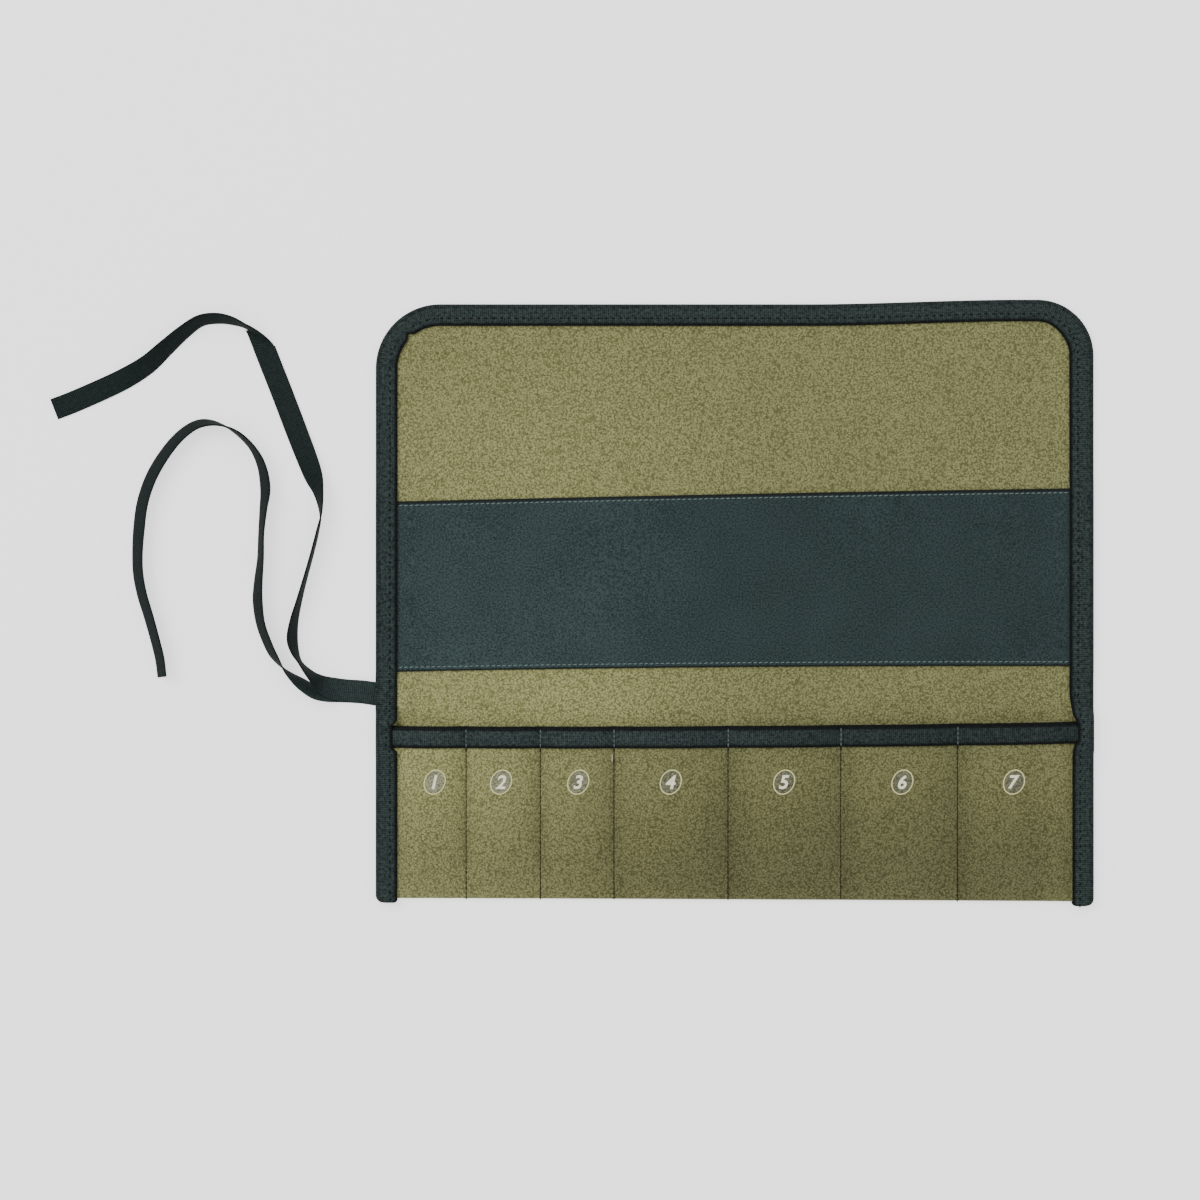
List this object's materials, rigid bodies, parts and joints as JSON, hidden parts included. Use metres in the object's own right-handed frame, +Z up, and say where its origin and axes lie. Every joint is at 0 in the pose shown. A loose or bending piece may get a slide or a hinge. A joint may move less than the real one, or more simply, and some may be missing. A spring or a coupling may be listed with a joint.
{
  "type": "tool roll",
  "caption": "Flat cloth tool roll laid open, folded up into numbered pockets, with a sewn band, tape-bound edges and loose tie tapes at one side.",
  "frame": {"origin": "on the table, under the middle of the sewn roll (its box without the two loose ties)", "axes": "+Z up from the table, +X to the right along the folded edge, +Y from the folded edge to the rounded top edge"},
  "size_m": [0.574, 0.3334, 0.012],
  "materials": {
    "khaki_cloth": "napped khaki cloth, matt, finely mottled",
    "band_cloth": "dark blue-green coated cloth, fine weave",
    "binding_tape": "dark green ribbed tape, matt",
    "tie_tape": "dark green ribbed tape, matt"
  },
  "bodies": {
    "root": {"body_cloth": "khaki_cloth", "band": "band_cloth", "edge_binding": "binding_tape", "pocket_binding": "binding_tape", "tie_upper": "tie_tape", "tie_lower": "tie_tape"}
  },
  "joints": []
}
